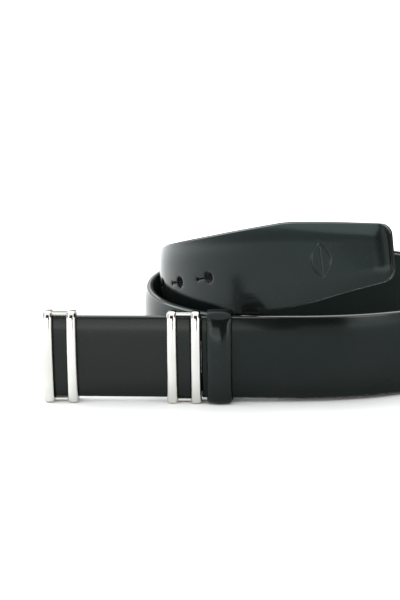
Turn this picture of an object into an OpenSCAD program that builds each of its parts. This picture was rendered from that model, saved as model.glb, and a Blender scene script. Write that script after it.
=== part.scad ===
// Dress belt, standing on its edge and rolled up, buckle run out straight at the
// front, free end lifted over the roll. Millimetres, +Z up. X runs along the
// buckle, Y away from the viewer. The origin is on the resting plane, under the
// middle of the whole part.

/* [Strap] */
// width of the strap
strap_w = 35; // [25:0.5:40]
// thickness at the padded middle
strap_t = 3.8; // [3:0.1:5]
// how much thinner the feathered edges are
crown = 1.0; // [0:0.1:1.5]
// wall of the outer leather
skin_t = 0.95; // [0.7:0.05:1.4]
// thickness of the lining
lining_t = 1.15; // [0.8:0.05:1.6]
// length from the end of the straight part to the tip
strap_len = 981; // [900:1:1000]
// height the strap is held off the table at the buckle
front_lift = 2.0; // [0:0.1:3]

/* [Tip] */
// length of the taper
taper_len = 47; // [20:1:60]
// width at the very end
tip_w = 22; // [14:0.5:34]
// corner radius of the end
tip_r = 4.5; // [1:0.5:8]
// lean of the free end
tip_lean = 8.8; // [0:0.2:15]

/* [Holes] */
// number of holes
hole_n = 5; // [1:1:7]
// tip to the first hole
hole_first = 92.5; // [80:0.5:120]
// hole spacing
hole_pitch = 21.8; // [18:0.1:28]
// hole radius
hole_r = 2.5; // [2:0.1:3]
// length of the slit beside each hole
slit_len = 5.0; // [2:0.5:8]
// width of the slit
slit_w = 0.7; // [0.4:0.1:1.5]
// radius of the stop at the end of the slit
slit_stop_r = 0.8; // [0.5:0.1:1.2]

/* [Buckle] */
// distance between the two bars of one frame
bar_pitch = 10.0; // [8:0.1:14]
// distance between the two frames
frame_pitch = 52.1; // [40:0.1:60]
// width of a bar
bar_w = 4.3; // [3:0.1:6]
// height of a frame
frame_h = 39.6; // [37:0.1:42]
// front face of the bars
bar_front = -5.2; // [-7:0.1:-4]
// back face of the bars
bar_back = -2.3; // [-3:0.1:-2.1]
// back face of the frames
frame_back = 4.2; // [3.6:0.1:6]
// radius of the rounded bar front
bar_crown_r = 4.2; // [2.4:0.1:20]
// height of the sloping facet on the top of each bar
facet_h = 3.2; // [0.5:0.1:5]
// slope of that facet, from upright
facet_a = 38; // [10:1:70]
// thickness of the back plate
plate_t = 1.0; // [0.6:0.1:1.5]
// stud head radius
stud_head_r = 2.25; // [1.8:0.05:2.45]
// stud neck radius
stud_neck_r = 1.1; // [0.8:0.1:1.6]

/* [Keeper] */
// length along the strap
keeper_w = 10.5; // [8:0.5:20]
// left edge of the keeper
keeper_x0 = -11.6; // [-12:0.1:-8]
// padding thickness at the front
keeper_pad = 2.9; // [1.5:0.1:4]
// radius of the crowned front
keeper_crown_r = 10; // [6:0.5:30]
// room behind the strap for the free end
keeper_room = 4.3; // [4:0.1:6]

/* [Hidden] */

black = [0.05, 0.06, 0.06];
olive = [0.13, 0.16, 0.15];
tan_c = [0.45, 0.40, 0.33];
silver = [0.86, 0.86, 0.84];
steel = [0.62, 0.62, 0.62];

// place the drawing frame (buckle end of the curve at 0,0) over the part's origin
shift = [-15.23, -57.94, 0];

// ---- the roll -----------------------------------------------------------
// distance along the strap [mm] against bend [1/m]
bend = [[0, 0.57], [30, 6.67], [60, 10.33], [100, 14.04], [150, 15.3], [200, 12.81],
        [250, 12.28], [300, 14.19], [350, 12.82], [400, 12.72], [440, 16.96], [453, 23.7],
        [468.1, 14.03], [485.5, 8.57], [504.9, 8.48], [524.4, 11.29], [543.9, 13.96],
        [563.4, 15.29], [582.9, 15.78], [602.4, 15.9], [624, 15.61], [645.7, 14.92],
        [667.3, 14.07], [688.9, 13.37], [710.6, 13.09], [732.2, 13.34], [753.9, 14.1],
        [775.5, 15.21], [791.8, 16.45], [808, 16.14], [848, 14.34], [888, 7.52],
        [928, 1.66], [968, 0]];
// distance back from the tip [mm] against lift [mm]
tail_lift = [[0, 54.2], [30, 47.6], [70, 37.4], [110, 26.2], [150, 15.3], [200, 8.35],
             [250, 1.3], [300, 0]];

step = 2;
n_step = floor(strap_len / step) + 1;
function turn(s) = lookup(s, bend) / 1000 * 180 / PI;      // degrees per mm
// [x, y, heading] every 2 mm
walk = [for (i = 0, x = 0, y = 0, h = 0, k = turn(step / 2);
             i <= n_step;
             x = x + step * cos(h + k * step / 2), y = y + step * sin(h + k * step / 2),
             h = h + k * step, i = i + 1, k = turn(i * step + step / 2)) [x, y, h]];
function at(s) = s <= 0 ? [s, 0, 0]
    : let (i = min(floor(s / step), n_step - 1), f = s / step - i)
      walk[i] * (1 - f) + walk[i + 1] * f;

function lift_raw(s) = lookup(strap_len - s, tail_lift);
function tail_up(s) = s < strap_len - 330 ? 0
    : (lift_raw(s - 16) + lift_raw(s - 8) + lift_raw(s) + lift_raw(min(s + 8, strap_len))
       + lift_raw(min(s + 16, strap_len)) + max(0, s + 8 - strap_len) * 0.22
       + max(0, s + 16 - strap_len) * 0.22) / 5;
function lift(s) = front_lift * pow(max(0, min(1, 1 - (s - 20) / 260)), 1.5) + tail_up(s);

function lean(s) = tip_lean * max(0, min(1, 1 + (s - strap_len) / 110));
function slope(s) = s < strap_len - 330 || s <= 0 ? 0 : atan((lift(s + 1) - lift(s - 1)) / 2);
// axes of the cross-section at s: across (up), outward, along
function across0(p, t) = [-sin(t) * cos(p[2]), -sin(t) * sin(p[2]), cos(t)];
function out0(p) = [sin(p[2]), -cos(p[2]), 0];
function across(s) = let (p = at(s), t = slope(s), l = lean(s)) across0(p, t) * cos(l) - out0(p) * sin(l);
function outw(s) = let (p = at(s), t = slope(s), l = lean(s)) out0(p) * cos(l) + across0(p, t) * sin(l);
function mid(s) = let (p = at(s)) [p[0], p[1], lift(s) + strap_w / 2];

// half width of the strap at a distance d from the tip
function lin_w(d) = tip_w / 2 + (strap_w - tip_w) / 2 * min(1, d / taper_len);
function half_w(d) = d >= tip_r ? lin_w(d) : lin_w(tip_r) - tip_r + sqrt(max(0, tip_r * tip_r - pow(tip_r - d, 2)));

// stations along the strap; both ends are closer together
strap_s0 = -13.9;
stations = concat([strap_s0, strap_s0 + 0.6, -7, 0],
                  [for (s = 9; s < strap_len - taper_len - 4; s = s + 9) s],
                  [for (d = [taper_len, taper_len - 9, taper_len - 18, taper_len - 27, 12, 7.5, tip_r, 3.0, 1.8, 0.9, 0.3, 0.03]) strap_len - d]);

// ---- cross-sections: [across, outward] ----------------------------------
ht = strap_t / 2;
hw = strap_w / 2;
lin_top = -ht + lining_t;
function top_v(u) = ht - crown * pow(max(0, (abs(u) - 0.42 * hw) / (0.58 * hw)), 2.2);
us = [-1, -0.985, -0.93, -0.83, -0.68, -0.42, 0, 0.42, 0.68, 0.83, 0.93, 0.985, 1];
outer_pts = concat([[-hw, lin_top + 0.05]],
                   [for (f = us) [f * hw, abs(f) == 1 ? top_v(hw) - 0.5 : top_v(f * hw)]],
                   [[hw, lin_top + 0.05]]);
inner_pts = [for (p = outer_pts) [p[0] * (hw - skin_t) / hw,
             max(lin_top + 0.05, p[1] - skin_t * (abs(p[0]) >= hw ? 0.6 : 1))]];
filler_top = [for (i = [2 : len(inner_pts) - 3]) [inner_pts[i][0] * 0.985, inner_pts[i][1] - 0.12]];
filler_pts = concat([[-(hw - skin_t) * 0.98, lin_top + 0.1]], filler_top, [[(hw - skin_t) * 0.98, lin_top + 0.1]]);
lining_pts = [[-hw + 0.1, lin_top], [-hw + 0.1, -ht + 0.35], [-hw + 0.5, -ht], [hw - 0.5, -ht], [hw - 0.1, -ht + 0.35], [hw - 0.1, lin_top]];

// scale of a section near the tip and at the buckle end: [across, outward]
function tip_scale(s) = let (d = strap_len - s)
    [half_w(d) / hw, d < 3 ? 0.72 + 0.28 * sqrt(max(0, 1 - pow(1 - d / 3, 2))) : 1];
function end_scale(s) = s < strap_s0 + 0.3 ? [0.985, 0.8] : tip_scale(s);

function place(p, s) = let (k = end_scale(s)) mid(s) + across(s) * p[0] * k[0] + outw(s) * p[1] * k[1];
function place_flat(p, x) = [x, -p[1], front_lift + strap_w / 2 + p[0]];

function tri(a, b, c, d) = [[a, b, c], [a, c, d]];
// closed loft of equal rings; strip = true closes the ends as a band between
// the first half of the ring and the second half read backwards
module loft(rings, strip = false) {
    n = len(rings[0]);
    m = len(rings);
    pts = [for (r = rings) for (p = r) p];
    sides = [for (i = [0 : m - 2]) for (j = [0 : n - 1])
             for (t = tri(i * n + j, i * n + (j + 1) % n, (i + 1) * n + (j + 1) % n, (i + 1) * n + j)) t];
    h = n / 2;
    cap0 = strip ? [for (j = [0 : h - 2]) for (t = tri(j, n - 1 - j, n - 2 - j, j + 1)) t]
                 : [[for (j = [n - 1 : -1 : 0]) j]];
    o = (m - 1) * n;
    cap1 = strip ? [for (j = [0 : h - 2]) for (t = tri(o + j, o + j + 1, o + n - 2 - j, o + n - 1 - j)) t]
                 : [[for (j = [0 : n - 1]) o + j]];
    polyhedron(points = pts, faces = concat(sides, cap0, cap1), convexity = 10);
}
skin_ring = concat(outer_pts, [for (i = [len(inner_pts) - 1 : -1 : 0]) inner_pts[i]]);

module strap_sweep(ring, from = -1e9, to = 1e9, strip = false) {
    st = [for (s = stations) if (s > from && s < to) s];
    loft([for (s = st) [for (p = ring) place(p, s)]], strip);
}
module panel_sweep(ring, x0, x1, strip = false) {
    loft([for (x = [x0, x1]) [for (p = ring) place_flat(p, x)]], strip);
}

// put children on the strap at s: local x along the strap towards the tip, local y
// across, local z outward
module on_strap(s) {
    a = across(s);
    o = outw(s);
    t = cross(a, o);
    m = mid(s);
    multmatrix([[t[0], a[0], o[0], m[0]], [t[1], a[1], o[1], m[1]], [t[2], a[2], o[2], m[2]], [0, 0, 0, 1]]) children();
}
module keyholes() {
    for (i = [0 : hole_n - 1]) on_strap(strap_len - hole_first - i * hole_pitch) {
        translate([0, 0, -6]) cylinder(r = hole_r, h = 12, $fn = 48);
        translate([-hole_r - slit_len, -slit_w / 2, -6]) cube([slit_len + 1, slit_w, 12]);
        translate([-hole_r - slit_len, 0, -6]) cylinder(r = slit_stop_r, h = 12, $fn = 32);
    }
}

// ---- strap -------------------------------------------------------------
module strap_face() color(black) translate(shift) difference() {
    strap_sweep(skin_ring, strip = true);
    keyholes();
}
module strap_filler() color(tan_c) translate(shift) difference() {
    strap_sweep(filler_pts, from = -1, to = strap_len - 2);
    keyholes();
}
module strap_lining() color(olive) translate(shift) difference() {
    strap_sweep(lining_pts);
    keyholes();
    rivet_rods(1.05);
}

// ---- hinge between the strap and the buckle ----------------------------
zc = front_lift + strap_w / 2;
pin_x = -16.13;
pin_r = 0.75;
knuckle_r = 1.5;
bar4 = pin_x;
bar_x = [bar4 - frame_pitch - bar_pitch, bar4 - frame_pitch, bar4 - bar_pitch, bar4];

module rivet_rods(r) for (z = [zc - 9, zc + 9]) translate([-7.4, -0.6, z]) rotate([-90, 0, 0]) cylinder(r = r, h = 2.7, $fn = 32);

module hinge_tongue() color(steel) translate(shift) difference() {
    union() {
        translate([pin_x, 0, zc - 6.8]) cylinder(r = knuckle_r, h = 13.6, $fn = 48);
        translate([pin_x, -0.5, zc - 6.8]) cube([6, 1.0, 13.6]);
        translate([-13.4, -0.5, zc - 13]) cube([11.4, 1.0, 26]);
    }
    translate([pin_x, 0, zc - 20]) cylinder(r = pin_r + 0.05, h = 40, $fn = 48);
    rivet_rods(1.0);
}
// flat heads on the lining, shanks through lining and tongue
module tongue_rivets() color(steel) translate(shift) for (z = [zc - 9, zc + 9]) {
    translate([-7.4, -0.5, z]) rotate([-90, 0, 0]) cylinder(r = 0.97, h = 2.5, $fn = 32);
    translate([-7.4, 1.93, z]) rotate([-90, 0, 0]) cylinder(r1 = 1.9, r2 = 1.5, h = 0.35, $fn = 32);
}

// ---- keeper ------------------------------------------------------------
keep_in_y0 = -ht - 0.3;                 // inside, front
keep_in_y1 = ht + keeper_room;          // inside, back
keep_in_z0 = front_lift - 0.4;
keep_in_z1 = front_lift + strap_w + 0.4;
keep_wall = 1.5;
module rounded_x(x0, x1, y0, y1, z0, z1, r) {
    translate([x0, y0 + r, z0]) cube([x1 - x0, y1 - y0 - 2 * r, z1 - z0]);
    translate([x0, y0, z0 + r]) cube([x1 - x0, y1 - y0, z1 - z0 - 2 * r]);
    for (y = [y0 + r, y1 - r]) for (z = [z0 + r, z1 - r])
        translate([x0, y, z]) rotate([0, 90, 0]) cylinder(r = r, h = x1 - x0, $fn = 32);
}
// outer leather: padded and crowned at the front
module keeper_face() color(black) translate(shift) difference() {
    intersection() {
        rounded_x(keeper_x0, keeper_x0 + keeper_w, keep_in_y0 - keeper_pad, keep_in_y1 + 1.0, 0, keep_in_z1 + keep_wall, 1.3);
        // crown across the keeper's width
        translate([keeper_x0 + keeper_w / 2, keep_in_y0 - keeper_pad + keeper_crown_r, -1]) cylinder(r = keeper_crown_r, h = 60, $fn = 96);
    }
    translate([keeper_x0 - 1, keep_in_y0 - 0.6, keep_in_z0 - 0.6]) cube([keeper_w + 2, keep_in_y1 - keep_in_y0 + 1.0, keep_in_z1 - keep_in_z0 + 1.2]);
}
// thin inner leather, glued inside the loop
module keeper_lining() color(olive) translate(shift) difference() {
    translate([keeper_x0 + 0.4, keep_in_y0 - 0.55, keep_in_z0 - 0.55]) cube([keeper_w - 0.8, keep_in_y1 - keep_in_y0 + 0.9, keep_in_z1 - keep_in_z0 + 1.1]);
    translate([keeper_x0 - 1, keep_in_y0, keep_in_z0]) cube([keeper_w + 2, keep_in_y1 - keep_in_y0, keep_in_z1 - keep_in_z0]);
}
// wire staple that closes the loop at the back
module keeper_staple() color(steel) translate(shift) {
    y = keep_in_y1 + 1.02;
    translate([keeper_x0 + keeper_w / 2 - 3, y, zc - 0.35]) cube([6, 0.4, 0.7]);
}

// ---- buckle ------------------------------------------------------------
panel_x0 = bar_x[0] - 1.6;
panel_x1 = pin_x - 2.1;
plate_y = ht + 0.1;
module back_plate() color(steel) translate(shift) difference() {
    union() {
        translate([bar_x[0] - 1.2, plate_y, zc - 14.5]) cube([pin_x - 1.0 - bar_x[0] + 1.2, plate_t, 29]);
        for (z = [zc - 14.2, zc + 7.0]) {
            translate([pin_x, 0, z]) cylinder(r = knuckle_r, h = 7.2, $fn = 48);
            translate([pin_x - 1.5, 0.3, z]) cube([1.5, plate_y - 0.3 + plate_t, 7.2]);
        }
    }
    translate([pin_x, 0, zc - 20]) cylinder(r = pin_r, h = 40, $fn = 48);
    // stud hole and rivet holes
    translate([stud_x, 0, zc]) rotate([-90, 0, 0]) cylinder(r = stud_neck_r, h = 6, $fn = 48);
    rivet_holes(0.8);
}
// three pairs hold the plate to the frames, the fourth pair holds it to the panel
module rivet_holes(r) {
    for (x = [bar_x[0], bar_x[1], bar_x[2]]) for (z = [zc - 11.5, zc + 11.5])
        translate([x, plate_y - 0.1, z]) rotate([-90, 0, 0]) cylinder(r = r, h = 1.9, $fn = 32);
    for (z = [zc - 11.5, zc + 11.5])
        translate([bar_x[3] - 3.6, 0.6, z]) rotate([-90, 0, 0]) cylinder(r = r, h = 4, $fn = 32);
}
stud_x = (bar_x[0] + bar_x[1]) / 2 + 13;

// closed loop of one bar: crowned at the front, flat at the back. Where the
// loop stands over the hinge its back bar reaches only `rear` past the middle,
// so that it clears the strap's end as the buckle swings
module bar_loop(x, rear = bar_w / 2) {
    zt = frame_h;
    difference() {
        intersection() {
            rounded_x(x - bar_w / 2, x + bar_w / 2, bar_front, frame_back, 0, zt, 0.8);
            // rounded front, plain arms and back bar behind it
            union() {
                translate([x, bar_front + bar_crown_r, -1]) cylinder(r = bar_crown_r, h = zt + 2, $fn = 96);
                translate([x - bar_w, bar_front + bar_crown_r, -1]) cube([2 * bar_w, frame_back - bar_front, zt + 2]);
            }
            // rounded top
            union() {
                translate([x, bar_front - 1, zt - 9]) rotate([-90, 0, 0]) cylinder(r = 9, h = 20, $fn = 96);
                translate([x - 5, bar_front - 1, -1]) cube([10, 20, zt - 8]);
            }
        }
        translate([x - 5, bar_back, 1.7]) cube([10, frame_back - 1.05 - bar_back, zt - 3.7]);
        translate([x + rear, 1.9, 1.7]) cube([5, frame_back, zt - 3.7]);
        // sloping facet at the upper front corner
        translate([x - 5, bar_front, zt - facet_h]) rotate([-facet_a, 0, 0]) translate([0, -10, -5]) cube([10, 10, 20]);
        translate([x - 5, bar_front, 1.1]) rotate([45, 0, 0]) translate([0, -10, -15]) cube([10, 10, 20]);
    }
}
module frame(xa, xb, rear = bar_w / 2) difference() {
    union() {
        bar_loop(xa);
        bar_loop(xb, rear);
        for (z = [0.35, frame_h - 2.1])
            translate([xa, 0, z]) rounded_x(0, xb - xa, -2.4, 1.6, 0, 1.65, 0.35);
    }
    rivet_holes(0.8);
}
module left_frame() color(silver) translate(shift) frame(bar_x[0], bar_x[1]);
module right_frame() color(silver) translate(shift) frame(bar_x[2], bar_x[3], 0.9);

module frame_rivets() color(steel) translate(shift) {
    for (x = [bar_x[0], bar_x[1], bar_x[2]]) for (z = [zc - 11.5, zc + 11.5])
        translate([x, plate_y + 0.05, z]) rotate([-90, 0, 0]) cylinder(r = 0.78, h = 1.7, $fn = 32);
    for (z = [zc - 11.5, zc + 11.5]) {
        translate([bar_x[3] - 3.6, 0.9, z]) rotate([-90, 0, 0]) cylinder(r = 0.78, h = plate_y + plate_t - 0.9, $fn = 32);
        translate([bar_x[3] - 3.6, plate_y + plate_t, z]) rotate([-90, 0, 0]) cylinder(r1 = 1.1, r2 = 0.8, h = 0.3, $fn = 32);
    }
}

module panel_face() color(black) translate(shift) panel_sweep(skin_ring, panel_x0, panel_x1, strip = true);
module panel_filler() color(tan_c) translate(shift) panel_sweep(filler_pts, panel_x0 + 1, panel_x1 - 1);
module panel_lining() color(olive) translate(shift) difference() {
    panel_sweep(lining_pts, panel_x0, panel_x1);
    rivet_holes(0.8);
}

module pivot_pin() color(steel) translate(shift) {
    translate([pin_x, 0, zc - 14.6]) cylinder(r = pin_r - 0.01, h = 29.2, $fn = 48);
    for (z = [zc - 15.2, zc + 14.2]) translate([pin_x, 0, z]) cylinder(r = 1.15, h = 1.0, $fn = 48);
}
module hook_stud() color(silver) translate(shift) translate([stud_x, 0, zc]) rotate([-90, 0, 0]) {
    translate([0, 0, plate_y + 0.02]) cylinder(r = stud_neck_r - 0.01, h = 5.0, $fn = 48);
    translate([0, 0, plate_y + plate_t]) cylinder(r = 1.9, h = 0.4, $fn = 48);
    translate([0, 0, plate_y + 4.9]) cylinder(r1 = stud_head_r - 0.3, r2 = stud_head_r, h = 0.5, $fn = 48);
    translate([0, 0, plate_y + 5.4]) cylinder(r1 = stud_head_r, r2 = stud_head_r - 0.8, h = 0.8, $fn = 48);
}

strap_face();
strap_filler();
strap_lining();
hinge_tongue();
tongue_rivets();
keeper_face();
keeper_lining();
keeper_staple();
back_plate();
left_frame();
right_frame();
frame_rivets();
panel_face();
panel_filler();
panel_lining();
pivot_pin();
hook_stud();
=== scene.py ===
import bpy
import math
import numpy as np
from mathutils import Vector, Matrix
from mathutils.geometry import delaunay_2d_cdt


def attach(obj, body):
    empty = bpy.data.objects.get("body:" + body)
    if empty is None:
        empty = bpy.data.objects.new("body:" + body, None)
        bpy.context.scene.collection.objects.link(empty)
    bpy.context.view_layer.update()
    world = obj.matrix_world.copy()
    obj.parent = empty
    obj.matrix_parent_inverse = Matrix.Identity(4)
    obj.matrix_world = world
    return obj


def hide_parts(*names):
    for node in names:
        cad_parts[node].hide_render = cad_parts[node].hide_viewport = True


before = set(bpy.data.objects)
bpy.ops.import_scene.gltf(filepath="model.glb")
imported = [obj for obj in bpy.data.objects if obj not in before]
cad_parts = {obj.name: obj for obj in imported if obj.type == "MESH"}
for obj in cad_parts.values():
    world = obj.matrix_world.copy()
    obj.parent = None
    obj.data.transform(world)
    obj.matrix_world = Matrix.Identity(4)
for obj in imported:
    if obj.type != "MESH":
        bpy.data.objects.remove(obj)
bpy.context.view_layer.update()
MM = 0.001

# ------------------------------------------------------------------ the roll
# the same tables as part.scad, millimetres
SHIFT = np.array([-15.23, -57.94, 0.0])
STRAP_W, STRAP_T, CROWN, LINING_T, SKIN_T = 35.0, 3.8, 1.0, 1.15, 0.95
LEN, FRONT_LIFT = 981.0, 2.0
TAPER, TIP_W, TIP_R, TIP_LEAN = 47.0, 22.0, 4.5, 8.8
HOLE_FIRST, HOLE_PITCH, HOLE_N, HOLE_R = 92.5, 21.8, 5, 2.5
SLIT_LEN, SLIT_W, SLIT_STOP = 5.0, 0.7, 0.8
S0 = -13.9
HW, HT = STRAP_W / 2, STRAP_T / 2
LIN_TOP = -HT + LINING_T
BEND = np.array([[0, 0.57], [30, 6.67], [60, 10.33], [100, 14.04], [150, 15.3], [200, 12.81],
                 [250, 12.28], [300, 14.19], [350, 12.82], [400, 12.72], [440, 16.96], [453, 23.7],
                 [468.1, 14.03], [485.5, 8.57], [504.9, 8.48], [524.4, 11.29], [543.9, 13.96],
                 [563.4, 15.29], [582.9, 15.78], [602.4, 15.9], [624, 15.61], [645.7, 14.92],
                 [667.3, 14.07], [688.9, 13.37], [710.6, 13.09], [732.2, 13.34], [753.9, 14.1],
                 [775.5, 15.21], [791.8, 16.45], [808, 16.14], [848, 14.34], [888, 7.52],
                 [928, 1.66], [968, 0]])
TAIL = np.array([[0, 54.2], [30, 47.6], [70, 37.4], [110, 26.2], [150, 15.3], [200, 8.35],
                 [250, 1.3], [300, 0]])

DS = 0.5
_n = int((LEN + 40) / DS) + 1
_h = np.zeros(_n); _x = np.zeros(_n); _y = np.zeros(_n)
_k = np.interp((np.arange(_n - 1) + 0.5) * DS, BEND[:, 0], BEND[:, 1]) / 1000 * DS
_h[1:] = np.cumsum(_k)
_x[1:] = np.cumsum(DS * np.cos(_h[:-1] + _k / 2))
_y[1:] = np.cumsum(DS * np.sin(_h[:-1] + _k / 2))


def smooth(a, half):
    """running mean with a bell-shaped window of that half width, in samples"""
    w = np.hanning(2 * half + 3)[1:-1]
    w /= w.sum()
    p = np.concatenate([np.full(half, a[0]), a, a[-1] + (a[-1] - a[-2]) * np.arange(1, half + 1)])
    return np.convolve(p, w, mode="valid")


NEG = int(20 / DS)                                     # straight part, s < 0
S = np.arange(-NEG, _n) * DS
X = np.concatenate([np.arange(-NEG, 0) * DS, _x])
Y = np.concatenate([np.zeros(NEG), _y])
H = np.concatenate([np.zeros(NEG), _h])
_raw = np.where(S <= LEN, np.interp(LEN - S, TAIL[:, 0], TAIL[:, 1]), TAIL[0, 1] + (S - LEN) * 0.22)
LIFT = FRONT_LIFT * np.clip(1 - (S - 20) / 260, 0, 1) ** 1.5 + smooth(_raw, int(24 / DS))
LEAN = smooth(np.radians(TIP_LEAN) * np.clip(1 + (S - LEN) / 110, 0, 1.05), int(18 / DS))
_t = np.where(S < LEN - 330, 0, np.arctan(np.gradient(smooth(_raw, int(24 / DS)), DS)))
_a0 = np.stack([-np.sin(_t) * np.cos(H), -np.sin(_t) * np.sin(H), np.cos(_t)], 1)
_o0 = np.stack([np.sin(H), -np.cos(H), np.zeros_like(H)], 1)
_c, _s_ = np.cos(LEAN)[:, None], np.sin(LEAN)[:, None]
ACROSS = _a0 * _c - _o0 * _s_
OUT = _o0 * _c + _a0 * _s_
MID = np.stack([X, Y, LIFT + HW], 1) + SHIFT


def at(tab, s):
    return np.stack([np.interp(s, S, tab[:, i]) for i in range(3)], -1)


def lin_w(d):
    return TIP_W / 2 + (STRAP_W - TIP_W) / 2 * np.clip(d / TAPER, 0, 1)


def half_w(d):
    """half width at a distance from the tip, its taper corner a little eased"""
    d = np.asarray(d, float)
    e = np.where(np.abs(d - TAPER) < 5, -(5 - np.abs(d - TAPER)) ** 2 / 20 * (HW - TIP_W / 2) / TAPER, 0)
    w = lin_w(d) + e
    r = np.minimum(d, TIP_R)
    return w - TIP_R + np.sqrt(np.maximum(0, TIP_R ** 2 - (TIP_R - r) ** 2))


def key_sdf(x, y):
    """distance outside one keyhole, local millimetres, x towards the tip"""
    c = np.hypot(x, y) - HOLE_R
    qx, qy = np.abs(x + HOLE_R + SLIT_LEN / 2) - SLIT_LEN / 2, np.abs(y) - SLIT_W / 2
    b = np.hypot(np.maximum(qx, 0), np.maximum(qy, 0)) + np.minimum(np.maximum(qx, qy), 0)
    d = np.hypot(x + HOLE_R + SLIT_LEN, y) - SLIT_STOP
    return np.minimum(np.minimum(c, b), d)


HOLE_S = [LEN - HOLE_FIRST - i * HOLE_PITCH for i in range(HOLE_N)]
MARK_S, MARK_W, MARK_H = LEN - 32.0, 4.6, 8.0          # a plain leaf pressed in near the tip


def mark_depth(s, u):
    """a leaf outline with a middle line, pressed into the surface"""
    x, y = (s - MARK_S), u - 0.2
    t = np.clip(np.abs(y) / MARK_H, 0, 1)
    edge = MARK_W * (1 - t ** 2)
    slope = np.sqrt(1 + (2 * MARK_W * t / MARK_H) ** 2)
    outline = np.abs(np.abs(x) - edge) / slope
    outline = np.where(np.abs(y) > MARK_H, np.hypot(x, np.abs(y) - MARK_H), outline)
    vein = np.maximum(np.abs(x), np.maximum(0, np.abs(y + 0.6) - (MARK_H - 1.6)))
    inside = np.clip((edge - np.abs(x)) / 0.9, 0, 1) * (np.abs(y) < MARK_H)
    g = np.exp(-(outline / 0.38) ** 2) + 0.85 * np.exp(-(vein / 0.34) ** 2)
    return 0.22 * np.minimum(g, 1) + 0.04 * inside


EDGE_R, EDGE_D = 0.75, 0.62                            # rounding at the edges of the face


def top_v(u, hw):
    """height of the crowned face above the middle plane"""
    return -CROWN * np.maximum(0, (np.abs(u) / hw - 0.42) / 0.58) ** 2.2


def face_point(s, q, drop=0.0, details=True, end_round=True):
    """point of the outer surface. q runs over the width, its last EDGE_R rounded over"""
    s, q = np.broadcast_arrays(np.asarray(s, float), np.asarray(q, float))
    k = half_w(LEN - s) / HW
    aq, sg = np.abs(q), np.sign(q)
    th = np.clip((aq - (HW - EDGE_R)) / EDGE_R, 0, 1) * math.pi / 2
    u = np.where(th > 0, sg * (HW - EDGE_R + EDGE_R * np.sin(th)), q)
    v = HT + top_v(u, HW) - EDGE_D * (1 - np.cos(th)) - drop
    if end_round:
        d = np.maximum(0, LEN - s)
        e = 0.9 * np.maximum(0, 1 - d / 9) ** 2.2
        v = v - e * np.clip(1 - th, 0.25, 1) - 0.5 * (1 - np.sqrt(np.maximum(0, 1 - np.maximum(0, 1 - d / 0.8) ** 2))) * (th < 1.2)
        b = np.maximum(0, 1 - (s - S0) / 0.8)
        v = v - 0.4 * (1 - np.sqrt(np.maximum(0, 1 - b ** 2)))
    if details:
        for hs in HOLE_S:
            near = np.abs(s - hs) < 12
            if near.any():
                d = key_sdf(s - hs, u)
                v = v - np.where(near, 0.20 * np.exp(-(np.maximum(d, 0) / 0.34) ** 2) + 0.05 * np.exp(-(np.maximum(d, 0) / 1.4) ** 2), 0)
        v = v - mark_depth(s, u)
    return at(MID, s) + at(ACROSS, s) * (u * k)[..., None] + at(OUT, s) * v[..., None]


def flat_point(s, u, v):
    """point of the strap's section at u across, v outward"""
    s, u, v = np.broadcast_arrays(np.asarray(s, float), np.asarray(u, float), np.asarray(v, float))
    k = half_w(LEN - s) / HW
    return at(MID, s) + at(ACROSS, s) * (u * k)[..., None] + at(OUT, s) * v[..., None]


def stations(step=1.5):
    lines = [S0, LEN - 0.02]
    for hs in HOLE_S:
        lines += [hs - 10.4, hs + 4.6]
    lines += [MARK_S - 7.0, MARK_S + 7.0, LEN - TAPER]
    fine = [S0 + v for v in (0.1, 0.25, 0.5, 0.8)] + [LEN - v for v in (0.1, 0.22, 0.4, 0.65, 1, 1.4, 1.9, 2.5, 3.2, 3.8, 4.5, 5.3, 6.2)]
    base = [s for s in np.arange(S0 + 1.6, LEN - 7, step) if min(abs(s - f) for f in lines) > 0.55]
    return np.array(sorted(set(round(float(v), 5) for v in lines + fine + base)))


def key_outline():
    a0 = math.asin(SLIT_W / 2 / HOLE_R)
    pts = [(HOLE_R * math.cos(a), HOLE_R * math.sin(a)) for a in np.linspace(math.pi - a0, -(math.pi - a0), 49)]
    xe, xd = -HOLE_R * math.cos(a0), -(HOLE_R + SLIT_LEN) + math.sqrt(SLIT_STOP ** 2 - (SLIT_W / 2) ** 2)
    pts += [(x, -SLIT_W / 2) for x in np.linspace(xe, xd, 9)[1:-1]]
    b0 = math.asin(SLIT_W / 2 / SLIT_STOP)
    pts += [(-(HOLE_R + SLIT_LEN) + SLIT_STOP * math.cos(a), SLIT_STOP * math.sin(a)) for a in np.linspace(-b0, -(2 * math.pi - b0), 21)]
    pts += [(x, SLIT_W / 2) for x in np.linspace(xd, xe, 9)[1:-1]]
    return pts


KEY = key_outline()


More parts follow.
